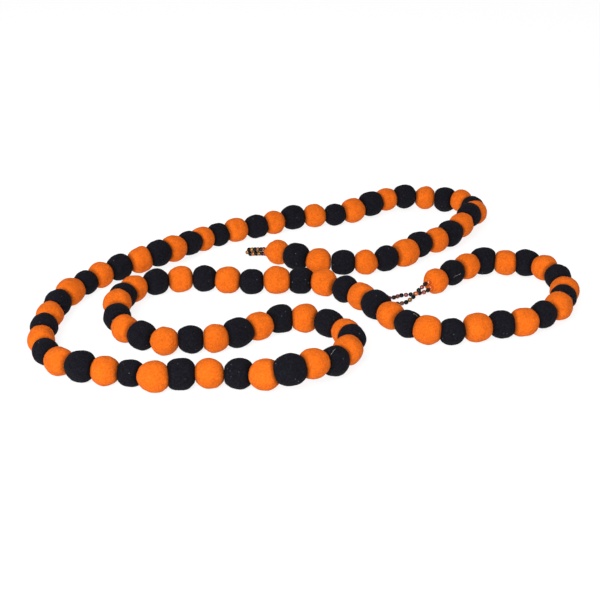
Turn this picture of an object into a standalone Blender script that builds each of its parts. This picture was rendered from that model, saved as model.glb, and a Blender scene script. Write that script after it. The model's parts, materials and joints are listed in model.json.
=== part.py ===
"""Felt ball garland: wool felt balls in two colours, strung on a thread and laid on a table in loose bends,
with a beaded hanging loop at each end."""

import math
import random

import bmesh
import bpy
import numpy as np
from mathutils import Matrix, Vector

# Balls, in metres
MM = 0.001
BALL_COUNT = 101
BALL_RADIUS = 12.7 * MM
MEAN_SPACING = 22.5 * MM
SIZE_FOLLOWS_PLACE = 0.6  # how far a ball's size follows the room that it takes on the thread
SIZE_SPREAD = 0.3 * MM  # what rolling by hand adds or leaves out
FLOOR_PRESS = 0.35 * MM  # how far a resting ball is pressed flat
SQUARENESS = 2.2  # of a ball's profile towards a neighbour: 2 is round, more is fuller at the shoulder
FACET_GROWTH = 1.02  # a faceted ball's corners stand this much outside the round one
GAP = 0.3 * MM  # between two pieces that touch

# Beads of the hanging loops
BEAD_RADIUS = 2.1 * MM
BEAD_PITCH = 4.35 * MM
BEAD_PROFILE = (0.28, 0.84, 1.0, 0.84)  # girth along one bead, from the hole where it starts

# The garland's route on the table: the ball, where its middle lies and how far the thread lifts it, in mm
ROUTE = (
    # ball, right, away, lift
    (1, -33, 51, 1),
    (3, 7, 30, 1),
    (5, 53, 30, 0),
    (8, 110, 65, 3),
    (10, 143, 96, 3),
    (12, 168, 130, 9),
    (14, 177, 175, 2),
    (18, 105, 206, 3),
    (22, 26, 160, 0),
    (24, -18, 146, 0),
    (29, -111, 86, 1),
    (32, -152, 39, 5),
    (35, -203, -1, 0),
    (40, -236, -114, 0),
    (42, -226, -159, 0),
    (44, -191, -188, 0),
    (49, -86, -201, 0),
    (54, 17, -188, 7),
    (57, 28, -122, 0),
    (60, -29, -99, 0),
    (62, -65, -126, 0),
    (64, -105, -140, 0),
    (67, -164, -116, 0),
    (69, -177, -74, 3),
    (71, -166, -31, 0),
    (73, -125, -11, 0),
    (76, -57, -16, 0),
    (79, 12, -21, 0),
    (82, 59, -71, 0),
    (84, 84, -108, 0),
    (88, 166, -112, 0),
    (93, 235, -40, 3),
    (95, 225, 5, 3),
    (98, 169, 25, 2),
    (101, 118, -15, 0),
)

# Balls that lie out of line, and how far they were nudged off the smooth route, in mm
OUT_OF_LINE = (
    # ball, right, away, lift
    (1, 0, 2, 0),
    (2, -1, -1, 1),
    (4, 1, 2, 0),
    (7, 1, 0, -2),
    (8, -1, 2, 0),
    (10, 0, -1, 0),
    (12, -1, 1, 1),
    (13, 0, -1, -1),
    (15, -1, -1, 4),
    (17, 0, -2, 0),
    (18, 0, -1, 0),
    (19, 0, 1, 0),
    (20, 1, -2, 1),
    (21, 0, -2, 0),
    (23, 0, 3, 0),
    (24, -1, 3, 0),
    (25, 0, -2, 0),
    (26, 2, -2, 0),
    (27, 0, -1, 0),
    (28, -1, 2, 0),
    (29, -1, 4, 0),
    (30, 1, 2, 0),
    (31, 0, -1, 0),
    (32, 1, -3, 2),
    (33, 1, 0, 0),
    (36, 1, 2, 0),
    (37, 0, 1, 0),
    (38, -1, 0, 0),
    (41, 0, 1, 0),
    (42, 0, 1, 0),
    (43, -1, 0, 0),
    (45, 0, 2, 0),
    (46, 1, 4, 0),
    (47, 0, -5, 0),
    (49, 1, 2, 0),
    (50, 2, 5, -2),
    (51, 1, -1, -1),
    (52, -1, -5, 3),
    (53, -1, 1, 2),
    (54, 0, 2, -2),
    (56, 0, 0, 2),
    (57, 1, -3, 0),
    (58, 1, 0, 0),
    (59, 0, 1, 0),
    (60, 0, 2, 0),
    (63, 0, 1, 0),
    (64, 0, 3, 0),
    (65, 0, -3, 0),
    (68, 0, -1, 0),
    (69, 1, -2, 2),
    (70, 0, -1, -2),
    (71, -1, -2, 0),
    (74, 0, 1, 0),
    (78, -1, 2, 0),
    (79, -1, 1, 0),
    (80, 1, -2, 0),
    (82, -1, 0, 0),
    (83, -1, 1, 0),
    (84, 0, 1, 0),
    (85, -1, -3, 1),
    (86, -1, -1, 0),
    (87, 0, 2, 0),
    (88, 0, 4, 0),
    (89, 0, -1, 0),
    (90, 0, -2, 2),
    (91, 2, -1, 2),
    (92, 0, 2, 1),
    (93, 0, 0, -3),
    (94, 0, 2, 0),
    (95, -1, -2, 3),
    (96, 0, 1, 0),
    (97, 0, -4, 0),
    (98, -1, 1, 0),
    (99, 0, -2, 1),
    (100, 1, -2, 2),
    (101, 0, 1, 0),
)
# Balls rolled from more wool than the rest, or from less
MORE_WOOL = (
    # ball, what that adds to its radius
    (7, 1.0),
    (10, 1.0),
    (15, 0.5),
    (16, 1.0),
    (18, 0.5),
    (21, 0.5),
    (22, -0.5),
    (23, -0.5),
    (26, -0.5),
    (30, -0.5),
    (31, 0.5),
    (32, 0.5),
    (33, 0.5),
    (36, -0.5),
    (39, -0.5),
    (40, -0.5),
    (41, -0.5),
    (42, -1.0),
    (43, -0.5),
    (44, 0.5),
    (46, -0.5),
    (47, 1.0),
    (49, -0.5),
    (50, -0.5),
    (51, 0.5),
    (52, 1.0),
    (55, 0.5),
    (62, 0.5),
    (72, -0.5),
    (76, -1.0),
    (77, 1.0),
    (82, 0.5),
    (84, -0.5),
    (85, 1.0),
    (86, -1.0),
    (89, 0.5),
    (90, -0.5),
    (91, 0.5),
    (93, 1.0),
    (96, 1.0),
    (97, 0.5),
    (98, 1.0),
    (100, -0.5),
    (101, -0.5),
)

# The hanging loops' threads, out from the end ball and back to it, in mm
SHORT_LOOP = (
    # right, away, up
    (-44.6, 56.6, 14.4),
    (-50.0, 61.6, 12.4),
    (-56.0, 67.0, 10.0),
    (-61.0, 71.5, 7.9),
    (-63.7, 73.6, 6.6),
    (-65.0, 74.4, 4.6),
    (-63.9, 73.5, 2.7),
    (-61.0, 71.5, 3.3),
    (-56.0, 67.0, 5.4),
    (-50.0, 61.6, 7.8),
    (-44.6, 56.6, 9.7),
)
OPEN_LOOP = (
    # right, away, up
    (109.8, -26.4, 16.0),
    (106.0, -28.4, 14.8),
    (103.0, -30.5, 12.4),
    (99.5, -33.0, 10.2),
    (97.0, -36.0, 7.8),
    (94.0, -38.5, 5.6),
    (91.0, -40.4, 3.8),
    (87.5, -42.5, 2.5),
    (83.5, -44.0, 2.2),
    (77.0, -45.3, 2.2),
    (70.0, -44.4, 2.2),
    (64.0, -40.8, 2.2),
    (64.8, -35.6, 2.2),
    (70.5, -33.0, 2.2),
    (76.0, -31.5, 2.2),
    (79.5, -29.5, 2.2),
    (83.5, -26.8, 2.2),
    (87.5, -26.0, 2.4),
    (91.5, -26.5, 3.0),
    (96.0, -27.5, 4.2),
    (100.5, -29.0, 5.6),
    (104.5, -30.5, 7.2),
    (108.2, -30.8, 9.0),
    (112.6, -26.9, 11.2),
)


def clear_scene():
    for thing in list(bpy.data.objects):
        bpy.data.objects.remove(thing)


def make_collection():
    collection = bpy.data.collections.new("felt_ball_garland")
    bpy.context.scene.collection.children.link(collection)
    return collection


def make_material(name, colour, roughness):
    material = bpy.data.materials.new(name)
    material.use_nodes = True
    shader = material.node_tree.nodes["Principled BSDF"]
    shader.inputs["Base Color"].default_value = (*colour, 1.0)
    shader.inputs["Roughness"].default_value = roughness
    shader.inputs["Metallic"].default_value = 0.0
    material.diffuse_color = (*colour, 1.0)
    return material


def smooth_curve(marks, points, wanted):
    """Points of the natural cubic spline that passes each of the points at its mark."""
    marks = np.asarray(marks, float)
    points = np.asarray(points, float)
    step = np.diff(marks)
    slope = np.diff(points, axis=0) / step[:, None]
    size = len(marks)
    system = np.eye(size)
    right = np.zeros_like(points)
    for i in range(1, size - 1):
        system[i, i - 1 : i + 2] = (step[i - 1], 2 * (step[i - 1] + step[i]), step[i])
        right[i] = 6 * (slope[i] - slope[i - 1])
    bend = np.linalg.solve(system, right)
    wanted = np.asarray(wanted, float)
    i = np.clip(np.searchsorted(marks, wanted, side="right") - 1, 0, size - 2)
    before = (wanted - marks[i])[:, None]
    after = (marks[i + 1] - wanted)[:, None]
    width = step[i][:, None]
    cubic = (bend[i] * after**3 + bend[i + 1] * before**3) / (6 * width)
    linear = (points[i] / width - bend[i] * width / 6) * after
    return cubic + linear + (points[i + 1] / width - bend[i + 1] * width / 6) * before


def string_the_balls():
    """The middle and the radius of each ball along the garland."""
    rows = np.array(ROUTE, float)
    path = smooth_curve(rows[:, 0], rows[:, 1:] * MM, range(1, BALL_COUNT + 1))
    for ball, *nudge in OUT_OF_LINE:
        path[ball - 1] += np.array(nudge) * MM
    spacing = np.linalg.norm(np.diff(path, axis=0), axis=1)
    room = np.empty(BALL_COUNT)
    room[1:-1] = (spacing[:-1] + spacing[1:]) / 2
    room[0] = spacing[0]
    room[-1] = spacing[-1]
    hand = random.Random(12)
    balls = []
    more_wool = dict(MORE_WOOL)
    for number, (place, width) in enumerate(zip(path, room), 1):
        radius = BALL_RADIUS + SIZE_FOLLOWS_PLACE * (width - MEAN_SPACING) / 2
        radius += hand.uniform(-SIZE_SPREAD, SIZE_SPREAD) + more_wool.get(number, 0) * MM
        lift = place[2] if place[2] > 1.0 * MM else 0.0
        middle = Vector((place[0], place[1], lift + radius - FLOOR_PRESS))
        balls.append((middle, radius))
    return balls


def contact_plane(ball, other):
    """Where two pressed balls meet: the plane's distance from the first ball's middle, and its direction."""
    (middle, radius), (far_middle, far_radius) = ball, other
    away = far_middle - middle
    distance = away.length
    reach = (distance**2 + radius**2 - far_radius**2) / (2 * distance)
    return reach, away / distance


def fill_shoulders(mesh, radius, sides):
    """Makes a round ball squarer towards its neighbours, as balls are that are strung tight."""
    for corner in mesh.verts:
        way = corner.co.normalized()
        along = max((way.dot(side) for side in sides), default=0.0)
        if along > 0.0:
            across = math.sqrt(max(1.0 - along**2, 0.0))
            corner.co = way * radius / (along**SQUARENESS + across**SQUARENESS) ** (1 / SQUARENESS)


def cut_flat(mesh, point, normal):
    """Cuts off what lies beyond the plane and closes the cut."""
    everything = mesh.verts[:] + mesh.edges[:] + mesh.faces[:]
    cut = bmesh.ops.bisect_plane(
        mesh, geom=everything, dist=1e-7, plane_co=point, plane_no=normal, clear_outer=True
    )
    rim = [part for part in cut["geom_cut"] if isinstance(part, bmesh.types.BMEdge)]
    if rim:
        bmesh.ops.edgeloop_fill(mesh, edges=rim)


def make_ball(name, index, balls, parted, materials, collection):
    """One ball as its own object, pressed flat on the table and towards each neighbour it's parted from."""
    middle, radius = balls[index]
    mesh = bmesh.new()
    bmesh.ops.create_icosphere(mesh, subdivisions=2, radius=radius * FACET_GROWTH)
    turn = Matrix.Rotation(index * math.radians(137.5), 4, "Z")
    bmesh.ops.transform(mesh, matrix=turn, verts=mesh.verts)
    beside = [other for other in (index - 1, index + 1) if 0 <= other < BALL_COUNT]
    sides = [contact_plane(balls[index], balls[other])[1] for other in beside]
    fill_shoulders(mesh, radius * FACET_GROWTH, sides)
    bmesh.ops.translate(mesh, vec=middle, verts=mesh.verts)
    for neighbour in parted:
        reach, towards = contact_plane(balls[index], balls[neighbour])
        cut_flat(mesh, middle + towards * (reach - GAP / 2), towards)
    cut_flat(mesh, Vector((0, 0, 0)), Vector((0, 0, -1)))
    colour = index % 2
    for face in mesh.faces:
        face.material_index = colour
    data = bpy.data.meshes.new(name)
    mesh.to_mesh(data)
    mesh.free()
    for material in materials:
        data.materials.append(material)
    ball = bpy.data.objects.new(name, data)
    collection.objects.link(ball)
    return ball


def join_pair(first, second):
    """Presses the second ball into the first, as one solid."""
    union = first.modifiers.new("pressed_together", "BOOLEAN")
    union.operation = "UNION"
    union.solver = "EXACT"
    union.object = second
    bpy.context.view_layer.update()
    evaluated = first.evaluated_get(bpy.context.evaluated_depsgraph_get())
    joined = bpy.data.meshes.new_from_object(evaluated)
    first.modifiers.clear()
    first.data = joined
    bpy.data.objects.remove(second)


def make_balls(balls, materials, collection):
    """Neighbours in twos, an orange and a black one to a piece, and the last ball by itself."""
    for start in range(0, BALL_COUNT, 2):
        before = [start - 1] if start else []
        if start + 1 == BALL_COUNT:
            make_ball("ball_last", start, balls, before, materials, collection)
            continue
        name = f"balls_{start // 2 + 1:02d}"
        after = [start + 2] if start + 2 < BALL_COUNT else []
        first = make_ball(name, start, balls, before, materials, collection)
        second = make_ball(name + "_b", start + 1, balls, after, materials, collection)
        join_pair(first, second)


def seat_on_ball(point, ball):
    """The point moved straight out from the ball's middle to lie just clear of its surface."""
    middle, radius = ball
    return middle + (Vector(point) - middle).normalized() * (radius * FACET_GROWTH + GAP)


def bead_strand(name, rows, ball, material, collection):
    """A loop's thread with its beads as one lumpy tube, from the ball's surface and back to it."""
    stations = [Vector(row) * MM for row in rows]
    stations[0] = seat_on_ball(stations[0], ball)
    stations[-1] = seat_on_ball(stations[-1], ball)
    fine = smooth_curve(range(len(stations)), stations, np.linspace(0, len(stations) - 1, 1200))
    travel = np.concatenate([[0], np.cumsum(np.linalg.norm(np.diff(fine, axis=0), axis=1))])
    beads = round(travel[-1] / BEAD_PITCH)
    steps = beads * len(BEAD_PROFILE)
    stops = np.linspace(0, travel[-1], steps + 1)
    places = np.column_stack([np.interp(stops, travel, fine[:, axis]) for axis in range(3)])

    curve = bpy.data.curves.new(name, "CURVE")
    curve.dimensions = "3D"
    curve.bevel_depth = BEAD_RADIUS
    curve.bevel_resolution = 2
    curve.use_fill_caps = True
    spline = curve.splines.new("POLY")
    spline.points.add(len(places) - 1)
    for number, (point, place) in enumerate(zip(spline.points, places)):
        point.co = (*place, 1.0)
        point.radius = BEAD_PROFILE[number % len(BEAD_PROFILE)]
    curve.materials.append(material)
    strand = bpy.data.objects.new(name, curve)
    collection.objects.link(strand)
    return strand


def main():
    clear_scene()
    collection = make_collection()
    orange_wool = make_material("orange_wool", (0.89, 0.16, 0.018), 0.95)
    black_wool = make_material("black_wool", (0.010, 0.011, 0.015), 0.95)
    bead_glass = make_material("bead_glass", (0.12, 0.045, 0.025), 0.2)
    balls = string_the_balls()
    make_balls(balls, (orange_wool, black_wool), collection)
    bead_strand("bead_loop_short", SHORT_LOOP, balls[0], bead_glass, collection)
    bead_strand("bead_loop_open", OPEN_LOOP, balls[-1], bead_glass, collection)


main()
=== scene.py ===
import json
import math
import random

import bmesh
import bpy
import numpy as np
from mathutils import Matrix, Vector, noise

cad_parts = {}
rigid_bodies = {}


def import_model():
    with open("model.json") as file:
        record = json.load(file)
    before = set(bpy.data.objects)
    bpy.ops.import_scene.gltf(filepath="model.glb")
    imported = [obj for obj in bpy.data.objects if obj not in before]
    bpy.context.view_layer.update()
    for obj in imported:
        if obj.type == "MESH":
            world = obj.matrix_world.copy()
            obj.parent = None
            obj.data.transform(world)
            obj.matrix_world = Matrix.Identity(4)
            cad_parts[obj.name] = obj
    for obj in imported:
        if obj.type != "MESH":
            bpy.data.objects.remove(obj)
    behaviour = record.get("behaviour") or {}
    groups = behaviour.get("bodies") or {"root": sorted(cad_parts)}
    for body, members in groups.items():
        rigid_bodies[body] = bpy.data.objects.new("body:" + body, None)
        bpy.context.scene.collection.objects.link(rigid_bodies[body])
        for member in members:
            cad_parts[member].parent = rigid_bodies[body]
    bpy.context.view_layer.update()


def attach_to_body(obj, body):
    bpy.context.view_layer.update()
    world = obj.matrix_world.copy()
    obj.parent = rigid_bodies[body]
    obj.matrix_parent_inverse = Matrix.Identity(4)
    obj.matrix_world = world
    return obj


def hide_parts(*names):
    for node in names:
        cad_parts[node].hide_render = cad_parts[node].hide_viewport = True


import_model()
mm = 0.001


# Camera, where the photographer stood
cameraSet = {
    "place": (-0.0108, -1.06325, 0.485),  # metres, over the table
    "pitchDown": 25.2,  # degrees
    "lens": 72.6,
    "sensor": 36.0,
    "shift": (-0.0010, 0.0004),
    "clip": (0.05, 50.0),  # metres
}


def setCamera():
    lens = bpy.data.cameras.new("photographer")
    lens.lens = cameraSet["lens"]
    lens.sensor_width = cameraSet["sensor"]
    lens.shift_x, lens.shift_y = cameraSet["shift"]
    lens.clip_start, lens.clip_end = cameraSet["clip"]
    camera = bpy.data.objects.new("photographer", lens)
    camera.location = cameraSet["place"]
    camera.rotation_euler = (math.radians(90 - cameraSet["pitchDown"]), 0, 0)
    bpy.context.scene.collection.objects.link(camera)
    bpy.context.scene.camera = camera


# Where the balls lie, the same as in the solids
garland = {
    "balls": 101,
    "ballRadius": 12.7 * mm,
    "meanSpacing": 22.5 * mm,
    "sizeFollowsPlace": 0.6,
    "sizeSpread": 0.3 * mm,
    "floorPress": 0.35 * mm,
    "liftLeast": 1.0 * mm,  # a ball lifted less than this lies on the table
    "handSeed": 12,
    "route": (
        # ball, right, away, lift in mm
        (1, -33, 51, 1),
        (3, 7, 30, 1),
        (5, 53, 30, 0),
        (8, 110, 65, 3),
        (10, 143, 96, 3),
        (12, 168, 130, 9),
        (14, 177, 175, 2),
        (18, 105, 206, 3),
        (22, 26, 160, 0),
        (24, -18, 146, 0),
        (29, -111, 86, 1),
        (32, -152, 39, 5),
        (35, -203, -1, 0),
        (40, -236, -114, 0),
        (42, -226, -159, 0),
        (44, -191, -188, 0),
        (49, -86, -201, 0),
        (54, 17, -188, 7),
        (57, 28, -122, 0),
        (60, -29, -99, 0),
        (62, -65, -126, 0),
        (64, -105, -140, 0),
        (67, -164, -116, 0),
        (69, -177, -74, 3),
        (71, -166, -31, 0),
        (73, -125, -11, 0),
        (76, -57, -16, 0),
        (79, 12, -21, 0),
        (82, 59, -71, 0),
        (84, 84, -108, 0),
        (88, 166, -112, 0),
        (93, 235, -40, 3),
        (95, 225, 5, 3),
        (98, 169, 25, 2),
        (101, 118, -15, 0),
    ),
    "outOfLine": (
        # ball, right, away, lift in mm, off the smooth route
        (1, 0, 2, 0),
        (2, -1, -1, 1),
        (4, 1, 2, 0),
        (7, 1, 0, -2),
        (8, -1, 2, 0),
        (10, 0, -1, 0),
        (12, -1, 1, 1),
        (13, 0, -1, -1),
        (15, -1, -1, 4),
        (17, 0, -2, 0),
        (18, 0, -1, 0),
        (19, 0, 1, 0),
        (20, 1, -2, 1),
        (21, 0, -2, 0),
        (23, 0, 3, 0),
        (24, -1, 3, 0),
        (25, 0, -2, 0),
        (26, 2, -2, 0),
        (27, 0, -1, 0),
        (28, -1, 2, 0),
        (29, -1, 4, 0),
        (30, 1, 2, 0),
        (31, 0, -1, 0),
        (32, 1, -3, 2),
        (33, 1, 0, 0),
        (36, 1, 2, 0),
        (37, 0, 1, 0),
        (38, -1, 0, 0),
        (41, 0, 1, 0),
        (42, 0, 1, 0),
        (43, -1, 0, 0),
        (45, 0, 2, 0),
        (46, 1, 4, 0),
        (47, 0, -5, 0),
        (49, 1, 2, 0),
        (50, 2, 5, -2),
        (51, 1, -1, -1),
        (52, -1, -5, 3),
        (53, -1, 1, 2),
        (54, 0, 2, -2),
        (56, 0, 0, 2),
        (57, 1, -3, 0),
        (58, 1, 0, 0),
        (59, 0, 1, 0),
        (60, 0, 2, 0),
        (63, 0, 1, 0),
        (64, 0, 3, 0),
        (65, 0, -3, 0),
        (68, 0, -1, 0),
        (69, 1, -2, 2),
        (70, 0, -1, -2),
        (71, -1, -2, 0),
        (74, 0, 1, 0),
        (78, -1, 2, 0),
        (79, -1, 1, 0),
        (80, 1, -2, 0),
        (82, -1, 0, 0),
        (83, -1, 1, 0),
        (84, 0, 1, 0),
        (85, -1, -3, 1),
        (86, -1, -1, 0),
        (87, 0, 2, 0),
        (88, 0, 4, 0),
        (89, 0, -1, 0),
        (90, 0, -2, 2),
        (91, 2, -1, 2),
        (92, 0, 2, 1),
        (93, 0, 0, -3),
        (94, 0, 2, 0),
        (95, -1, -2, 3),
        (96, 0, 1, 0),
        (97, 0, -4, 0),
        (98, -1, 1, 0),
        (99, 0, -2, 1),
        (100, 1, -2, 2),
        (101, 0, 1, 0),
    ),
    # balls rolled from more wool than the rest, or from less
    "moreWool": (
        # ball, mm that this adds to its radius
        (7, 1.0),
        (10, 1.0),
        (15, 0.5),
        (16, 1.0),
        (18, 0.5),
        (21, 0.5),
        (22, -0.5),
        (23, -0.5),
        (26, -0.5),
        (30, -0.5),
        (31, 0.5),
        (32, 0.5),
        (33, 0.5),
        (36, -0.5),
        (39, -0.5),
        (40, -0.5),
        (41, -0.5),
        (42, -1.0),
        (43, -0.5),
        (44, 0.5),
        (46, -0.5),
        (47, 1.0),
        (49, -0.5),
        (50, -0.5),
        (51, 0.5),
        (52, 1.0),
        (55, 0.5),
        (62, 0.5),
        (72, -0.5),
        (76, -1.0),
        (77, 1.0),
        (82, 0.5),
        (84, -0.5),
        (85, 1.0),
        (86, -1.0),
        (89, 0.5),
        (90, -0.5),
        (91, 0.5),
        (93, 1.0),
        (96, 1.0),
        (97, 0.5),
        (98, 1.0),
        (100, -0.5),
        (101, -0.5),
    ),
}


def smoothCurve(marks, points, wanted):  # natural cubic spline through each point at its mark
    marks = np.asarray(marks, float)
    points = np.asarray(points, float)
    step = np.diff(marks)
    slope = np.diff(points, axis=0) / step[:, None]
    size = len(marks)
    system = np.eye(size)
    right = np.zeros_like(points)
    for i in range(1, size - 1):
        system[i, i - 1 : i + 2] = (step[i - 1], 2 * (step[i - 1] + step[i]), step[i])
        right[i] = 6 * (slope[i] - slope[i - 1])
    bend = np.linalg.solve(system, right)
    wanted = np.asarray(wanted, float)
    i = np.clip(np.searchsorted(marks, wanted, side="right") - 1, 0, size - 2)
    before = (wanted - marks[i])[:, None]
    after = (marks[i + 1] - wanted)[:, None]
    width = step[i][:, None]
    cubic = (bend[i] * after**3 + bend[i + 1] * before**3) / (6 * width)
    linear = (points[i] / width - bend[i] * width / 6) * after
    return cubic + linear + (points[i + 1] / width - bend[i + 1] * width / 6) * before


def layOutBalls():  # the middle and radius of each ball in turn
    rows = np.array(garland["route"], float)
    path = smoothCurve(rows[:, 0], rows[:, 1:] * mm, range(1, garland["balls"] + 1))
    for ball, *nudge in garland["outOfLine"]:
        path[ball - 1] += np.array(nudge) * mm
    spacing = np.linalg.norm(np.diff(path, axis=0), axis=1)
    room = np.concatenate([spacing[:1], (spacing[:-1] + spacing[1:]) / 2, spacing[-1:]])
    hand = random.Random(garland["handSeed"])
    placed = []
    moreWool = dict(garland["moreWool"])
    for number, (place, width) in enumerate(zip(path, room), 1):
        radius = garland["ballRadius"]
        radius += garland["sizeFollowsPlace"] * (width - garland["meanSpacing"]) / 2
        radius += hand.uniform(-garland["sizeSpread"], garland["sizeSpread"])
        radius += moreWool.get(number, 0) * mm
        lift = place[2] if place[2] > garland["liftLeast"] else 0.0
        placed.append((Vector((place[0], place[1], lift + radius - garland["floorPress"])), radius))
    return placed


# Small helpers for meshes and shader nodes
def finishPiece(name, mesh, materials, smooth=True):  # a bmesh becomes an object of the garland
    data = bpy.data.meshes.new(name)
    mesh.to_mesh(data)
    mesh.free()
    if smooth:
        data.shade_smooth()
    for material in materials:
        data.materials.append(material)
    piece = bpy.data.objects.new(name, data)
    bpy.context.scene.collection.objects.link(piece)
    return piece


def attach(piece, slotName, *nodes):
    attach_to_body(piece, "root")
    if nodes:
        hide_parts(*nodes)
    return piece


def startMaterial(name, constants):  # a material with these values on its shader's own sockets
    material = bpy.data.materials.new(name)
    material.use_nodes = True
    shader = material.node_tree.nodes["Principled BSDF"]
    for key, value in constants.items():
        shader.inputs[key].default_value = value
    return material, material.node_tree, shader


def join(tree, source, target):
    tree.links.new(source, target)


def addNode(tree, kind, inputs=None, **options):  # each input is a constant or another node's output
    node = tree.nodes.new(kind)
    for key, value in options.items():
        setattr(node, key, value)
    for key, value in (inputs or {}).items():
        if isinstance(value, bpy.types.NodeSocket):
            join(tree, value, node.inputs[key])
        else:
            node.inputs[key].default_value = value
    return node


def calculate(tree, operation, *values):
    return addNode(tree, "ShaderNodeMath", dict(enumerate(values)), operation=operation).outputs["Value"]


def mapBetween(tree, value, source=(0.0, 1.0), target=(0.0, 1.0), kind="LINEAR"):
    node = addNode(tree, "ShaderNodeMapRange", {"Value": value}, interpolation_type=kind)
    ends = ("From Min", "From Max", "To Min", "To Max")
    for key, end in zip(ends, (*source, *target)):
        node.inputs[key].default_value = end
    return node.outputs["Result"]


def mixColours(tree, share, first, second):
    return addNode(tree, "ShaderNodeMix", {"Factor": share, 6: first, 7: second}, data_type="RGBA").outputs[2]


def addNoise(tree, place, scale, detail, roughness=0.5):
    settings = {"Vector": place, "Scale": scale, "Detail": detail, "Roughness": roughness}
    return addNode(tree, "ShaderNodeTexNoise", settings).outputs


def ownPlace(tree):  # each point's place on its own object
    return addNode(tree, "ShaderNodeTexCoord").outputs["Object"]


def addBump(tree, shader, height, strength, relief):
    bump = addNode(tree, "ShaderNodeBump", {"Strength": strength, "Distance": relief, "Height": height})
    join(tree, bump.outputs["Normal"], shader.inputs["Normal"])


# Wool felt: a mat of fibres that lie in every direction, with pits between them
feltMat = {
    "sockets": (
        # socket of the surface, its kind, where its value stands in the colours below
        ("Wool", "Color", "wool"),
        ("Pale fibre", "Color", "paleFibre"),
        ("Painted pit shade", "Color", "paintedPitShade"),
        ("Pale share", "Float", "paleShare"),
        ("Pit share", "Float", "pitShare"),
        ("Painted clump shade", "Float", "paintedClumpShade"),
        ("Lint share", "Float", "lintShare"),
    ),
    "swirlScale": 260.0,
    "swirl": 2.4 * mm,  # how far a slow swirl bends the fibres
    "fibreLayers": (
        # turn in radians, scale on each axis: the fibres are long along the axis of the small scale
        ((0.3, 0.2, 0.5), (350.0, 3200.0, 3200.0)),
        ((0.9, 0.4, -0.6), (3000.0, 380.0, 3000.0)),
        ((-0.5, 1.1, 0.2), (3400.0, 3400.0, 330.0)),
    ),
    "ridge": (0.45, 0.75),  # of its noise, where a fibre starts to stand out and where it is full
    "pitScale": 900.0,
    "pit": (0.52, 0.36),  # where a pit starts and where it is deepest
    "clumpScale": 620.0,
    "clump": (0.34, 0.66),
    "grain": 0.6,  # how rough the noise of the pits and clumps is
    "patchScale": 120.0,
    "patch": (0.3, 0.7),
    "dye": (0.91, 1.09),  # of the colour, where the wool took the least dye and the most
    "paintedContactShade": 0.52,  # painted shade, of the colour, next to a neighbour or the table
    "lintScale": 330.0,
    "lintReach": 0.13,  # of a cell
    "lintRare": 0.88,  # this share of the cells has no lint
    "lintColour": (0.30, 0.29, 0.30, 1.0),
    "rough": (1.0, 0.82),  # between the fibres and on them
    "pitDepth": -0.8,  # of a fibre's height
    "clumpHeight": 0.9,
    "bump": 0.6,
    "relief": 0.15 * mm,
    "specular": 0.08,
    "sheenRoughness": 0.6,
}


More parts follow.
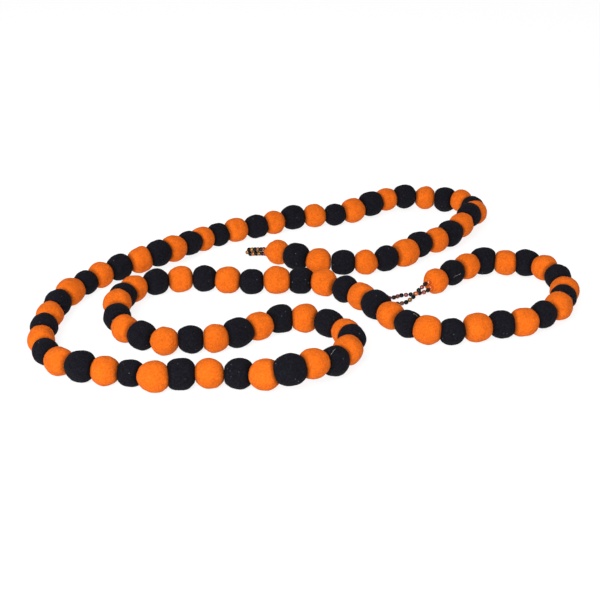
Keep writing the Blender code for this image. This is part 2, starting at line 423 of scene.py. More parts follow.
def makeFeltGroup():
    tree = bpy.data.node_groups.new("woolFeltSurface", "ShaderNodeTree")
    for name, kind, key in feltMat["sockets"]:
        tree.interface.new_socket(name, in_out="INPUT", socket_type="NodeSocket" + kind)
    for name, kind in (("Color", "Color"), ("Roughness", "Float"), ("Height", "Float")):
        tree.interface.new_socket(name, in_out="OUTPUT", socket_type="NodeSocket" + kind)
    inside = tree.nodes.new("NodeGroupInput").outputs
    outside = tree.nodes.new("NodeGroupOutput").inputs
    place = ownPlace(tree)

    # a slow swirl bends the fibres
    swirl = addNoise(tree, place, feltMat["swirlScale"], 2.0)["Color"]
    centred = addNode(tree, "ShaderNodeVectorMath", {0: swirl, 1: (0.5, 0.5, 0.5)}, operation="SUBTRACT")
    bends = {0: centred.outputs["Vector"], "Scale": feltMat["swirl"]}
    bent = addNode(tree, "ShaderNodeVectorMath", bends, operation="SCALE")
    swept = addNode(tree, "ShaderNodeVectorMath", {0: place, 1: bent.outputs["Vector"]}, operation="ADD")
    swept = swept.outputs["Vector"]

    # layers of fibres, long along one axis each
    fibres = None
    for turn, scale in feltMat["fibreLayers"]:
        comb = addNode(tree, "ShaderNodeMapping", {"Vector": swept, "Rotation": turn, "Scale": scale})
        strand = addNoise(tree, comb.outputs["Vector"], 1.0, 1.0)["Fac"]
        fibres = strand if fibres is None else calculate(tree, "MAXIMUM", fibres, strand)
    ridge = mapBetween(tree, fibres, feltMat["ridge"], kind="SMOOTHSTEP")

    # small pits where the mat is open, lower in the bump and darkened in colour with painted shade
    pits = addNoise(tree, swept, feltMat["pitScale"], 3.0, feltMat["grain"])["Fac"]
    pitted = mapBetween(tree, pits, feltMat["pit"], kind="SMOOTHSTEP")

    # clumps of wool that felted together, a little higher than the wool between them; painted shade makes the
    # clumps lighter and the wool between them darker
    clumps = addNoise(tree, swept, feltMat["clumpScale"], 3.0, feltMat["grain"])["Fac"]
    clumped = mapBetween(tree, clumps, feltMat["clump"], kind="SMOOTHSTEP")
    evened = calculate(tree, "SUBTRACT", clumped, 0.5)
    dyeAndPaintedShade = calculate(tree, "MULTIPLY_ADD", evened, inside["Painted clump shade"], 1.0)

    # wide soft patches, where the wool took more or less dye
    patches = addNoise(tree, place, feltMat["patchScale"], 2.0)["Fac"]
    dye = mapBetween(tree, patches, feltMat["patch"], feltMat["dye"])
    dyeAndPaintedShade = calculate(tree, "MULTIPLY", dyeAndPaintedShade, dye)

    # painted shade: next to a neighbour or the table the wool is darkened, standing in for the shade that
    # falls in the crevice
    free = addNode(tree, "ShaderNodeAttribute", attribute_name="outOfPaintedShade").outputs["Fac"]
    contactShadeFactor = mapBetween(tree, free, target=(feltMat["paintedContactShade"], 1.0), kind="SMOOTHERSTEP")
    dyeAndPaintedShade = calculate(tree, "MULTIPLY", dyeAndPaintedShade, contactShadeFactor)

    # sparse specks of pale lint
    lint = addNode(tree, "ShaderNodeTexVoronoi", {"Vector": swept, "Scale": feltMat["lintScale"]}).outputs
    speck = calculate(tree, "LESS_THAN", lint["Distance"], feltMat["lintReach"])
    luck = addNode(tree, "ShaderNodeSeparateColor", {"Color": lint["Color"]}).outputs["Red"]
    chosen = calculate(tree, "GREATER_THAN", luck, feltMat["lintRare"])
    linty = calculate(tree, "MULTIPLY", speck, chosen)
    linty = calculate(tree, "MULTIPLY", linty, inside["Lint share"])

    # the colour: fibres over the wool, painted shade in the pits, then the dye and the painted shade of the
    # clumps and contacts, then the lint
    paleShare = calculate(tree, "MULTIPLY", ridge, inside["Pale share"])
    wool = mixColours(tree, paleShare, inside["Wool"], inside["Pale fibre"])
    # painted shade in the pits: the wool is mixed towards a darker colour there
    pitShare = calculate(tree, "MULTIPLY", pitted, inside["Pit share"])
    wool = mixColours(tree, pitShare, wool, inside["Painted pit shade"])
    dyed = addNode(tree, "ShaderNodeVectorMath", {0: wool, "Scale": dyeAndPaintedShade}, operation="SCALE")
    withLint = mixColours(tree, linty, dyed.outputs["Vector"], feltMat["lintColour"])
    join(tree, withLint, outside["Color"])

    join(tree, mapBetween(tree, ridge, target=feltMat["rough"]), outside["Roughness"])
    deep = calculate(tree, "MULTIPLY", pitted, feltMat["pitDepth"])
    lump = calculate(tree, "MULTIPLY_ADD", clumped, feltMat["clumpHeight"], deep)
    join(tree, calculate(tree, "ADD", ridge, lump), outside["Height"])
    return tree


feltColours = {
    "orange": {
        "wool": (0.62, 0.106, 0.0050, 1.0),
        "paleFibre": (0.76, 0.18, 0.015, 1.0),
        # painted shade in the felt's pits
        "paintedPitShade": (0.40, 0.046, 0.0030, 1.0),
        "paleShare": 0.45,
        "pitShare": 0.34,
        # strength of the painted shade between the felt's clumps
        "paintedClumpShade": 0.24,
        "lintShare": 0.0,
        "sheen": 0.05,
        "sheenTint": (1.0, 0.42, 0.12, 1.0),
    },
    "black": {
        "wool": (0.0030, 0.0029, 0.0050, 1.0),
        "paleFibre": (0.014, 0.014, 0.021, 1.0),
        # painted shade in the felt's pits
        "paintedPitShade": (0.0025, 0.0025, 0.0035, 1.0),
        "paleShare": 0.5,
        "pitShare": 0.6,
        # strength of the painted shade between the felt's clumps
        "paintedClumpShade": 0.8,
        "lintShare": 0.3,
        "sheen": 0.01,
        "sheenTint": (0.45, 0.5, 0.65, 1.0),
    },
}


def makeFelt(colour, group):
    look = feltColours[colour]
    constants = {
        "Specular IOR Level": feltMat["specular"],
        "Sheen Weight": look["sheen"],
        "Sheen Roughness": feltMat["sheenRoughness"],
        "Sheen Tint": look["sheenTint"],
    }
    material, tree, shader = startMaterial(colour + "WoolFelt", constants)
    values = {name: look[key] for name, kind, key in feltMat["sockets"]}
    felt = addNode(tree, "ShaderNodeGroup", values, node_tree=group).outputs
    join(tree, felt["Color"], shader.inputs["Base Color"])
    join(tree, felt["Roughness"], shader.inputs["Roughness"])
    addBump(tree, shader, felt["Height"], feltMat["bump"], feltMat["relief"])
    return material


# Glass of the beads: copper lustre over brown glass, or dark glass
beadGlass = {
    "lustre": {
        "ramp": (
            # tone, colour
            (0.0, (0.150, 0.040, 0.048, 1.0)),
            (0.28, (0.290, 0.075, 0.058, 1.0)),
            (0.5, (0.150, 0.055, 0.026, 1.0)),
            (0.75, (0.300, 0.145, 0.045, 1.0)),
            (1.0, (0.720, 0.140, 0.045, 1.0)),
        ),
        "metallic": 0.6,
        "specular": 0.35,
        "rough": (0.12, 0.34),
    },
    "dark": {
        "ramp": (
            (0.0, (0.002, 0.002, 0.002, 1.0)),
            (0.5, (0.004, 0.012, 0.006, 1.0)),
            (1.0, (0.032, 0.005, 0.006, 1.0)),
        ),
        "metallic": 0.0,
        "specular": 0.13,
        "rough": (0.08, 0.22),
    },
    "filmSize": 420.0,
    "filmShift": 0.16,  # how far the film moves the tone within a bead
}


def makeBeadGlass(kind):
    look = beadGlass[kind]
    constants = {"Metallic": look["metallic"], "Specular IOR Level": look["specular"]}
    material, tree, shader = startMaterial(kind + "Glass", constants)
    tone = addNode(tree, "ShaderNodeAttribute", attribute_name="tone").outputs["Fac"]
    film = addNoise(tree, ownPlace(tree), beadGlass["filmSize"], 2.0)["Fac"]
    shift = calculate(tree, "SUBTRACT", film, 0.5)
    moved = calculate(tree, "MULTIPLY_ADD", shift, beadGlass["filmShift"], tone)
    colours = addNode(tree, "ShaderNodeValToRGB", {"Fac": moved})
    stops = colours.color_ramp.elements
    stops[0].position, stops[0].color = look["ramp"][0]
    stops[1].position, stops[1].color = look["ramp"][-1]
    for position, colour in look["ramp"][1:-1]:
        stops.new(position).color = colour
    join(tree, colours.outputs["Color"], shader.inputs["Base Color"])
    join(tree, mapBetween(tree, film, target=look["rough"]), shader.inputs["Roughness"])
    return material


# Thread of the loops, dark and waxed
threadLook = {
    "plyScale": 700.0,
    "plyDistortion": 1.5,
    "dark": (0.006, 0.006, 0.007, 1.0),
    "pale": (0.022, 0.020, 0.022, 1.0),
    "roughness": 0.6,
    "bump": 0.6,
    "relief": 0.05 * mm,
}


def makeThreadMaterial():
    material, tree, shader = startMaterial("waxedThread", {"Roughness": threadLook["roughness"]})
    settings = {
        "Vector": ownPlace(tree),
        "Scale": threadLook["plyScale"],
        "Distortion": threadLook["plyDistortion"],
    }
    ply = addNode(tree, "ShaderNodeTexWave", settings, bands_direction="DIAGONAL").outputs["Fac"]
    tone = mixColours(tree, ply, threadLook["dark"], threadLook["pale"])
    join(tree, tone, shader.inputs["Base Color"])
    addBump(tree, shader, ply, threadLook["bump"], threadLook["relief"])
    return material


# Hanging loops: beads on a thread that leaves the end ball and goes back into it
beadWork = {
    "radius": 2.1 * mm,
    "halfLength": 2.05 * mm,
    "hole": 0.5 * mm,
    "pitch": 4.35 * mm,
    "seat": 1.02,  # of the ball's radius, as in the solids
    "seatGap": 0.3 * mm,
    "steps": 18,  # round a bead
    "arc": 9,  # points from one rim of the hole to the other
    "boxiness": 2.8,  # of a bead's profile: 2 is round
    "threadRadius": 0.32 * mm,
    "threadInBall": 4.0 * mm,
    "wobble": 5.0,  # degrees
    "sizeSpread": 0.05,
    "curvePoints": 1200,  # fine points along a loop's thread
    "seed": 5,
}

shortLoop = {
    "route": (
        # right, away, up in mm
        (-44.6, 56.6, 14.4),
        (-50.0, 61.6, 12.4),
        (-56.0, 67.0, 10.0),
        (-61.0, 71.5, 7.9),
        (-63.7, 73.6, 6.6),
        (-65.0, 74.4, 4.6),
        (-63.9, 73.5, 2.7),
        (-61.0, 71.5, 3.3),
        (-56.0, 67.0, 5.4),
        (-50.0, 61.6, 7.8),
        (-44.6, 56.6, 9.7),
    ),
    "phase": 0.2,  # of the pitch, so that the two rows lie bead against gap
    "girth": 1.11,  # the beads here are a little fatter
    # bead by bead, copper lustre and dark glass in turn: lustre goes from mauve 0 over copper and tan to
    # pale orange 1, and dark glass from black 0 over green 0.5 to maroon 1
    "tones": (0.5, 0.8, 0.6, 0.2, 0.75, 0.0, 0.68, 0.3, 0.82, 0.1, 0.7, 0.9, 0.0),
}

openLoop = {
    "route": (
        # right, away, up in mm
        (109.8, -26.4, 16.0),
        (106.0, -28.4, 14.8),
        (103.0, -30.5, 12.4),
        (99.5, -33.0, 10.2),
        (97.0, -36.0, 7.8),
        (94.0, -38.5, 5.6),
        (91.0, -40.4, 3.8),
        (87.5, -42.5, 2.5),
        (83.5, -44.0, 2.2),
        (77.0, -45.3, 2.2),
        (70.0, -44.4, 2.2),
        (64.0, -40.8, 2.2),
        (64.8, -35.6, 2.2),
        (70.5, -33.0, 2.2),
        (76.0, -31.5, 2.2),
        (79.5, -29.5, 2.2),
        (83.5, -26.8, 2.2),
        (87.5, -26.0, 2.4),
        (91.5, -26.5, 3.0),
        (96.0, -27.5, 4.2),
        (100.5, -29.0, 5.6),
        (104.5, -30.5, 7.2),
        (108.2, -30.8, 9.0),
        (112.6, -26.9, 11.2),
    ),
    "phase": 0.0,
    "girth": 1.0,
    "tones": (
        0.95, 0.8, 0.3, 0.5, 0.9, 0.1, 0.65, 0.0, 0.5, 0.6, 0.6, 0.0, 0.5, 0.8,
        0.4, 0.0, 0.2, 0.9, 0.05, 0.0, 0.1, 0.1, 0.35, 1.0, 0.3, 0.6, 1.0,
    ),
}


def loopCurve(loop, ball):  # fine points along the thread, and how far each lies from its start
    middle, radius = ball
    stations = [Vector(row) * mm for row in loop["route"]]
    for end in (0, -1):
        out = (stations[end] - middle).normalized()
        stations[end] = middle + out * (radius * beadWork["seat"] + beadWork["seatGap"])
    stops = np.linspace(0, len(stations) - 1, beadWork["curvePoints"])
    fine = smoothCurve(range(len(stations)), stations, stops)
    travel = np.concatenate([[0], np.cumsum(np.linalg.norm(np.diff(fine, axis=0), axis=1))])
    return fine, travel


def alongLoop(fine, travel, stop):
    return Vector([float(np.interp(stop, travel, fine[:, axis])) for axis in range(3)])


def makeBeadShape():  # one round bead with its hole along Z
    bead = bmesh.new()
    hole, tall, wide = beadWork["hole"], beadWork["halfLength"], beadWork["radius"]
    rim = math.asin(hole / wide)
    power = beadWork["boxiness"]
    corners = []
    for step in range(beadWork["arc"]):
        angle = rim + (math.pi - 2 * rim) * step / (beadWork["arc"] - 1)
        out, up = math.sin(angle), math.cos(angle)
        fuller = (out**power + abs(up) ** power) ** (-1 / power)
        corners.append(bead.verts.new((wide * out * fuller, 0, tall * up * fuller)))
    for first, second in zip(corners, corners[1:] + corners[:1]):
        bead.edges.new((first, second))
    bmesh.ops.spin(
        bead, geom=bead.verts[:] + bead.edges[:], cent=(0, 0, 0), axis=(0, 0, 1),
        angle=2 * math.pi, steps=beadWork["steps"], use_merge=True,
    )
    bmesh.ops.remove_doubles(bead, verts=bead.verts[:], dist=1e-6)
    bmesh.ops.recalc_face_normals(bead, faces=bead.faces[:])
    shape = bpy.data.meshes.new("beadShape")
    bead.to_mesh(shape)
    bead.free()
    return shape


def stringBeads(name, loop, ball, shape, materials, hand):
    fine, travel = loopCurve(loop, ball)
    count = round(travel[-1] / beadWork["pitch"])
    pitch = travel[-1] / count
    wobble = math.radians(beadWork["wobble"])
    strand = bmesh.new()
    tone = strand.verts.layers.float.new("tone")
    for number in range(count):
        stop = (number + 0.5 + loop["phase"]) * pitch
        place = alongLoop(fine, travel, stop)
        ahead = alongLoop(fine, travel, stop + pitch / 4) - alongLoop(fine, travel, stop - pitch / 4)
        turn = ahead.to_track_quat("Z", "Y").to_matrix().to_4x4()
        lean = Matrix.Rotation(hand.uniform(-wobble, wobble), 4, "X")
        roll = Matrix.Rotation(hand.uniform(0, 2 * math.pi), 4, "Z")
        grow = 1 - beadWork["sizeSpread"] * hand.random()
        girth = Matrix.Diagonal((grow * loop["girth"], grow * loop["girth"], grow, 1.0))
        oldPoints = len(strand.verts)
        oldFaces = len(strand.faces)
        strand.from_mesh(shape)
        strand.verts.ensure_lookup_table()
        strand.faces.ensure_lookup_table()
        bmesh.ops.transform(
            strand,
            matrix=Matrix.Translation(place) @ turn @ lean @ roll @ girth,
            verts=strand.verts[oldPoints:],
        )
        for point in strand.verts[oldPoints:]:
            point[tone] = loop["tones"][number % len(loop["tones"])]
        for face in strand.faces[oldFaces:]:
            face.material_index = number % 2
    return finishPiece(name, strand, materials)


def sweepRound(routes, radius):  # a round rod along each route
    curve = bpy.data.curves.new("rounds", "CURVE")
    curve.dimensions = "3D"
    curve.bevel_depth = radius
    curve.bevel_resolution = 2
    curve.use_fill_caps = True
    for route in routes:
        spline = curve.splines.new("POLY")
        spline.points.add(len(route) - 1)
        for point, place in zip(spline.points, route):
            point.co = (*place, 1.0)
    drawn = bpy.data.objects.new("roundsDrawn", curve)
    bpy.context.scene.collection.objects.link(drawn)
    swept = drawn.evaluated_get(bpy.context.evaluated_depsgraph_get())
    rod = bmesh.new()
    rod.from_mesh(bpy.data.meshes.new_from_object(swept))
    bmesh.ops.remove_doubles(rod, verts=rod.verts[:], dist=1e-6)
    bpy.data.objects.remove(drawn)
    return rod


def makeThread(name, loop, ball, material):
    fine, travel = loopCurve(loop, ball)
    middle = ball[0]
    stops = np.arange(0, travel[-1], beadWork["pitch"] / 4)
    route = [alongLoop(fine, travel, stop) for stop in stops] + [Vector(fine[-1])]
    route.insert(0, route[0] + (middle - route[0]).normalized() * beadWork["threadInBall"])
    route.append(route[-1] + (middle - route[-1]).normalized() * beadWork["threadInBall"])
    return finishPiece(name, sweepRound([route], beadWork["threadRadius"]), [material])


# The felt balls
ballForm = {
    "roundness": 5,  # subdivisions of the icosphere
    "squareLeast": 2.0,  # profile towards a neighbour, ball by ball: 2 is round
    "squareMost": 2.5,
    "squareSeed": 8,
    "shoulder": 0.8 * mm,  # how softly the pressed flats turn into the round
    "floorShoulder": 1.0 * mm,
    "gap": 0.03 * mm,  # to the plane where two balls meet
    "swell": 0.85 * mm,  # widest lumps
    "swellSize": 14.0 * mm,
    "dent": 0.42 * mm,
    "dentSize": 6.5 * mm,
    "crumb": 0.14 * mm,
    "crumbSize": 2.4 * mm,
    "bare": 0.9 * mm,  # no fuzz nearer than this to a neighbour or the table
    "dark": 3.4 * mm,  # painted shade darkens the wool nearer than this to a neighbour or the table
    "nose": 2.6 * mm,  # how far the loop's thread draws out the first ball
    "noseWidth": 0.36,  # radians
    "noseSlim": 0.7 * mm,  # what the nose takes from the rest of that ball
    "pressed": 0.2,  # of full facing, where a ball starts to be pressed flat
    "resting": 0.5 * mm,  # a ball whose lowest point is under this rests on the surface
    "slim": (
        # ball, mm that its waist across the thread is slimmer
        (36, 0.4), (37, 1.0), (38, 0.9), (39, 0.6), (40, 0.5), (41, 0.3), (42, 0.4), (43, 0.8), (46, 0.4),
        (47, 0.7), (58, 0.8), (61, 0.3), (65, 0.3), (93, 0.3), (94, 0.5), (99, 0.3),
    ),
}


def softLeast(first, second, reach):  # the smaller of two, rounded off where they are alike
    blend = max(reach - abs(first - second), 0.0) / reach
    return min(first, second) - blend * blend * reach / 4


def makeBall(index, balls, power, material, drawn=None):
    home, radius = balls[index]
    slim = dict(ballForm["slim"]).get(index + 1, 0.0) * mm
    middle = home
    if home.z - radius < ballForm["resting"]:
        middle = home - Vector((0, 0, slim))
    planes = []  # where it meets each neighbour: how far from its middle, and which way
    for other in (index - 1, index + 1):
        if not 0 <= other < len(balls):
            continue
        farMiddle, farRadius = balls[other]
        away = farMiddle - home
        distance = away.length
        flat = (distance**2 + radius**2 - farRadius**2) / (2 * distance)
        sunk = (middle - home).dot(away) / distance
        planes.append((flat - sunk - ballForm["gap"], away / distance))
    ball = bmesh.new()
    bmesh.ops.create_icosphere(ball, subdivisions=ballForm["roundness"], radius=1.0)
    openness = ball.verts.layers.float.new("open")
    outOfPaintedShade = ball.verts.layers.float.new("outOfPaintedShade")
    for point in ball.verts:
        way = point.co.normalized()
        spot = middle + way * radius
        bulge = ballForm["swell"] * noise.noise(spot / ballForm["swellSize"])
        bulge += ballForm["dent"] * noise.noise(spot / ballForm["dentSize"])
        bulge += ballForm["crumb"] * noise.noise(spot / ballForm["crumbSize"])
        along = max([way.dot(towards) for flat, towards in planes] + [0.0])
        across = math.sqrt(max(1.0 - along * along, 0.0))
        reach = (radius - slim * across * across) / (along**power + across**power) ** (1 / power) + bulge
        if drawn:
            apart = math.acos(min(max(way.dot(drawn), -1.0), 1.0)) / ballForm["noseWidth"]
            reach += ballForm["nose"] * math.exp(-apart * apart) - ballForm["noseSlim"]
        for flat, towards in planes:
            facing = way.dot(towards)
            if facing > ballForm["pressed"]:
                reach = softLeast(reach, flat / facing, ballForm["shoulder"])
        if -way.z > ballForm["pressed"]:
            reach = softLeast(reach, middle.z / -way.z, ballForm["floorShoulder"])
        place = middle + way * reach
        nearest = min([flat - (place - middle).dot(towards) for flat, towards in planes] + [place.z])
        point[openness] = min(max(nearest / ballForm["bare"], 0.0), 1.0)
        # painted shade mask for the felt: 0 against a neighbour or the table, rising to 1 further off
        point[outOfPaintedShade] = min(max(nearest / ballForm["dark"], 0.0), 1.0)
        place.z = max(place.z, 0.0)
        point.co = place
    return finishPiece(f"feltBall{index + 1:03d}", ball, [material])


# Fuzz: loose wool hairs that stand off the balls, most of them lying low
fuzz = {
    "perSquareMetre": 155000.0,
    "hairLength": 1.5 * mm,
    "hairRadius": 0.045 * mm,
    "tipShare": 0.125,  # of that radius, at the hair's tip
    "curls": (0.35, 0.7, -0.2),  # how far the tip bends aside, of the length, for each kind of hair
    "leanLeast": 35.0,  # degrees from straight up
    "leanMost": 84.0,
    "scaleLeast": 0.45,
    "scaleMost": 1.35,
    "floorClear": 0.06 * mm,
    "roughness": 0.8,
    "specular": 0.15,
    "tones": {
        "orange": ((0.66, 0.11, 0.006), (0.76, 0.16, 0.018), (0.56, 0.075, 0.004)),
        "black": ((0.003, 0.003, 0.005), (0.009, 0.009, 0.013), (0.005, 0.004, 0.006)),
    },
    "seeds": {"orange": 40, "black": 50},
}


def makeHair(name, curl, material, collection):  # one tapered hair, rooted at the origin, bent as it rises
    hair = bmesh.new()
    tall, wide = fuzz["hairLength"], fuzz["hairRadius"]
    bmesh.ops.create_cone(
        hair, cap_ends=True, segments=3, radius1=wide, radius2=wide * fuzz["tipShare"], depth=tall
    )
    bmesh.ops.translate(hair, vec=(0, 0, tall / 2), verts=hair.verts)
    sides = [edge for edge in hair.edges if abs(edge.verts[0].co.z - edge.verts[1].co.z) > tall / 2]
    bmesh.ops.subdivide_edges(hair, edges=sides, cuts=1)
    for point in hair.verts:
        rise = point.co.z / tall
        point.co.x += curl * tall * rise * rise
        point.co.z -= abs(curl) * tall * rise * rise / 2
    data = bpy.data.meshes.new(name)
    hair.to_mesh(data)
    hair.free()
    data.materials.append(material)
    data.shade_smooth()
    collection.objects.link(bpy.data.objects.new(name, data))


def makeFuzzNodes(name, balls, hairs, seed):
    tree = bpy.data.node_groups.new(name, "GeometryNodeTree")
    for way in ("INPUT", "OUTPUT"):
        tree.interface.new_socket("Geometry", in_out=way, socket_type="NodeSocketGeometry")
    outside = tree.nodes.new("NodeGroupOutput")

    # roots all over the balls, but none where a ball is pressed
    wool = addNode(tree, "GeometryNodeCollectionInfo", {"Collection": balls})
    whole = addNode(tree, "GeometryNodeRealizeInstances", {"Geometry": wool.outputs["Instances"]})
    free = addNode(tree, "GeometryNodeInputNamedAttribute", {"Name": "open"}, data_type="FLOAT")
    density = calculate(tree, "MULTIPLY", free.outputs["Attribute"], fuzz["perSquareMetre"])
    rootSettings = {"Mesh": whole.outputs["Geometry"], "Density": density, "Seed": seed}
    roots = addNode(
        tree, "GeometryNodeDistributePointsOnFaces", rootSettings, distribute_method="RANDOM"
    )

    # each hair's lean, size and kind
    leanEnds = {
        0: (math.radians(fuzz["leanLeast"]), 0, 0),
        1: (math.radians(fuzz["leanMost"]), 0, 2 * math.pi),
        "Seed": seed + 1,
    }
    lean = addNode(tree, "FunctionNodeRandomValue", leanEnds, data_type="FLOAT_VECTOR")
    turns = {"Rotation": roots.outputs["Rotation"], "Rotate By": lean.outputs[0]}
    turned = addNode(tree, "FunctionNodeRotateRotation", turns, rotation_space="LOCAL")
    sizeEnds = {2: fuzz["scaleLeast"], 3: fuzz["scaleMost"], "Seed": seed + 2}
    size = addNode(tree, "FunctionNodeRandomValue", sizeEnds, data_type="FLOAT")
    choiceEnds = {4: 0, 5: len(hairs.objects) - 1, "Seed": seed + 3}
    choice = addNode(tree, "FunctionNodeRandomValue", choiceEnds, data_type="INT")
    kinds = addNode(
        tree,
        "GeometryNodeCollectionInfo",
        {"Collection": hairs, "Separate Children": True, "Reset Children": True},
    )
    coat = addNode(
        tree,
        "GeometryNodeInstanceOnPoints",
        {
            "Points": roots.outputs["Points"],
            "Instance": kinds.outputs["Instances"],
            "Pick Instance": True,
            "Instance Index": choice.outputs[2],
            "Rotation": turned.outputs["Rotation"],
            "Scale": size.outputs[1],
        },
    )
    real = addNode(tree, "GeometryNodeRealizeInstances", {"Geometry": coat.outputs["Instances"]})

    # no hair goes through the table
    spot = tree.nodes.new("GeometryNodeInputPosition").outputs["Position"]
    parts = addNode(tree, "ShaderNodeSeparateXYZ", {"Vector": spot}).outputs
    above = calculate(tree, "MAXIMUM", parts["Z"], fuzz["floorClear"])
    lifted = addNode(tree, "ShaderNodeCombineXYZ", {"X": parts["X"], "Y": parts["Y"], "Z": above})
    settling = {"Geometry": real.outputs["Geometry"], "Position": lifted.outputs["Vector"]}
    settle = addNode(tree, "GeometryNodeSetPosition", settling)
    join(tree, settle.outputs["Geometry"], outside.inputs["Geometry"])
    return tree


def makeFuzzMaterial(name, tone, look):
    constants = {
        "Base Color": (*tone, 1.0),
        "Roughness": fuzz["roughness"],
        "Specular IOR Level": fuzz["specular"],
        "Sheen Weight": look["sheen"],
        "Sheen Tint": look["sheenTint"],
    }
    return startMaterial(name, constants)[0]


def growFuzz(colour, pieces):
    name = colour + "Fuzz"
    balls = bpy.data.collections.new(name + "Balls")
    for piece in pieces:
        balls.objects.link(piece)
    hairs = bpy.data.collections.new(name + "Hairs")
    for number, (tone, curl) in enumerate(zip(fuzz["tones"][colour], fuzz["curls"]), 1):
        material = makeFuzzMaterial(f"{colour}Hair{number}", tone, feltColours[colour])
        makeHair(f"{colour}HairShape{number}", curl, material, hairs)
    grower = bpy.data.objects.new(name + "Grower", bpy.data.meshes.new(name + "Seed"))
    bpy.context.scene.collection.objects.link(grower)
    growth = grower.modifiers.new("fuzz", "NODES")
    growth.node_group = makeFuzzNodes(name + "Nodes", balls, hairs, fuzz["seeds"][colour])
    bpy.context.view_layer.update()
    grown = grower.evaluated_get(bpy.context.evaluated_depsgraph_get())
    data = bpy.data.meshes.new_from_object(grown)
    data.name = name
    coat = bpy.data.objects.new(name, data)
    bpy.context.scene.collection.objects.link(coat)
    bpy.data.objects.remove(grower)
    for thing in list(hairs.objects):
        bpy.data.objects.remove(thing)
    for group in (hairs, balls):
        bpy.data.collections.remove(group)
    return coat


# A few long pale hairs that the black wool caught, each rooted at both ends
strayHairs = {
    "radius": 0.07 * mm,
    "rootDepth": 0.3 * mm,
    "arch": 0.75 * mm,  # how far a hair's middle stands off the ball
    "steps": 17,
    "pale": (0.52, 0.49, 0.47, 1.0),
    "dim": (0.364, 0.343, 0.329, 1.0),
    "toneScale": 500.0,
    "roughness": 0.6,
    "hairs": (
        # ball, ways from its middle that the hair passes over: right, away, up
        (54, ((-0.29, -0.64, 0.71), (-0.11, -0.45, 0.89), (0.09, -0.13, 0.99))),
        (84, ((0.21, -0.30, 0.93), (0.41, -0.32, 0.85), (0.58, -0.40, 0.71))),
        (100, ((-0.07, -0.99, -0.08), (0.22, -0.96, 0.15), (0.71, -0.66, 0.22))),
    ),
}


def layStrayHairs(balls, pieces):
    bpy.context.view_layer.update()
    routes = []
    for ball, ways in strayHairs["hairs"]:
        middle, radius = balls[ball - 1]
        share = np.linspace(0, 1, strayHairs["steps"])
        turns = smoothCurve(range(3), [Vector(way) for way in ways], share * 2)
        route = []
        for part, turn in zip(share, turns):
            way = Vector(turn).normalized()
            spot = pieces[ball - 1].ray_cast(middle + way * radius * 2, -way)[1]
            stand = strayHairs["arch"] * math.sin(math.pi * part) - strayHairs["rootDepth"]
            route.append(spot + way * stand)
        routes.append(route)
    material, tree, shader = startMaterial("paleHair", {"Roughness": strayHairs["roughness"]})
    length = addNoise(tree, ownPlace(tree), strayHairs["toneScale"], 1.0)["Fac"]
    tone = mixColours(tree, length, strayHairs["pale"], strayHairs["dim"])
    join(tree, tone, shader.inputs["Base Color"])
    return finishPiece("strayHairs", sweepRound(routes, strayHairs["radius"]), [material])


# Pale floor and soft light
stageSet = {
    "floorSize": 12.0,
    "floorDrop": 0.02 * mm,
    "floorPaint": (0.20, 0.20, 0.20, 1.0),
    "floorRoughness": 0.9,
    "floorSpecular": 0.1,
    "floorGlow": 0.855,
    "white": (1.0, 1.0, 1.0, 1.0),
    "skyStrength": 0.40,
    "lampsFace": (0.0, 0.0, 0.0),
    "lamps": (
        # name, place, size, watts
        ("overhead", (0.0, 0.3, 1.8), 2.4, 6.0),
        ("front", (-0.55, -1.75, 1.12), 1.2, 57.0),
    ),
}


def makeFloor():
    ground = bmesh.new()
    bmesh.ops.create_grid(ground, x_segments=1, y_segments=1, size=stageSet["floorSize"] / 2)
    bmesh.ops.translate(ground, vec=(0, 0, -stageSet["floorDrop"]), verts=ground.verts)
    constants = {
        "Base Color": stageSet["floorPaint"],
        "Roughness": stageSet["floorRoughness"],
        "Specular IOR Level": stageSet["floorSpecular"],
        "Emission Color": stageSet["white"],
        "Emission Strength": stageSet["floorGlow"],
    }
    material = startMaterial("paleFloor", constants)[0]
    finishPiece("paleFloor", ground, [material], smooth=False)


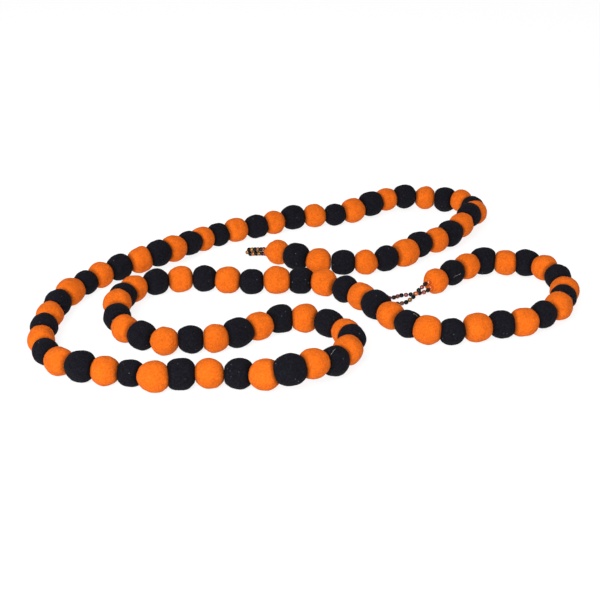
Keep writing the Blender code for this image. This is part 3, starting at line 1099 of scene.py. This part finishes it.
def setLights():
    world = bpy.data.worlds.new("softSky")
    bpy.context.scene.world = world
    world.use_nodes = True
    sky = world.node_tree.nodes["Background"]
    sky.inputs["Color"].default_value = stageSet["white"]
    sky.inputs["Strength"].default_value = stageSet["skyStrength"]
    for name, place, size, watts in stageSet["lamps"]:
        lamp = bpy.data.lights.new(name, "AREA")
        lamp.shape = "DISK"
        lamp.size = size
        lamp.energy = watts
        shown = bpy.data.objects.new(name, lamp)
        shown.location = place
        towards = Vector(stageSet["lampsFace"]) - Vector(place)
        shown.rotation_euler = towards.to_track_quat("-Z", "Y").to_euler()
        bpy.context.scene.collection.objects.link(shown)
    bpy.context.scene.view_settings.view_transform = "Standard"


# The garland and its table, made in turn
setCamera()
print("camera set")

balls = layOutBalls()
beadHand = random.Random(beadWork["seed"])
glass = [makeBeadGlass("lustre"), makeBeadGlass("dark")]
threadMaterial = makeThreadMaterial()
beadShape = makeBeadShape()
for name, loop, ball in (("short", shortLoop, balls[0]), ("open", openLoop, balls[-1])):
    beads = stringBeads(name + "LoopBeads", loop, ball, beadShape, glass, beadHand)
    attach(beads, "bead_glass", "bead_loop_" + name)
    attach(makeThread(name + "LoopThread", loop, ball, threadMaterial), "bead_glass")
print("bead loops strung")

feltGroup = makeFeltGroup()
felts = [makeFelt("orange", feltGroup), makeFelt("black", feltGroup)]
feltPieces = []
ballHand = random.Random(ballForm["squareSeed"])
roots = [Vector(shortLoop["route"][end]) * mm for end in (0, -1)]
noseWay = ((roots[0] + roots[1]) / 2 - balls[0][0]).normalized()
for index in range(len(balls)):
    power = ballHand.uniform(ballForm["squareLeast"], ballForm["squareMost"])
    drawn = noseWay if index == 0 else None
    piece = makeBall(index, balls, power, felts[index % 2], drawn)
    node = "ball_last" if index == len(balls) - 1 else f"balls_{index // 2 + 1:02d}"
    attach(piece, ("orange_felt", "black_felt")[index % 2], node)
    feltPieces.append(piece)
print("felt balls rolled:", len(feltPieces))
attach(layStrayHairs(balls, feltPieces), "black_felt")
print("stray hairs laid")

for number, colour in enumerate(("orange", "black")):
    coat = growFuzz(colour, feltPieces[number::2])
    attach(coat, colour + "_felt")
    print(colour, "fuzz grown:", len(coat.data.polygons), "faces")

makeFloor()
setLights()
print("floor and lights set")
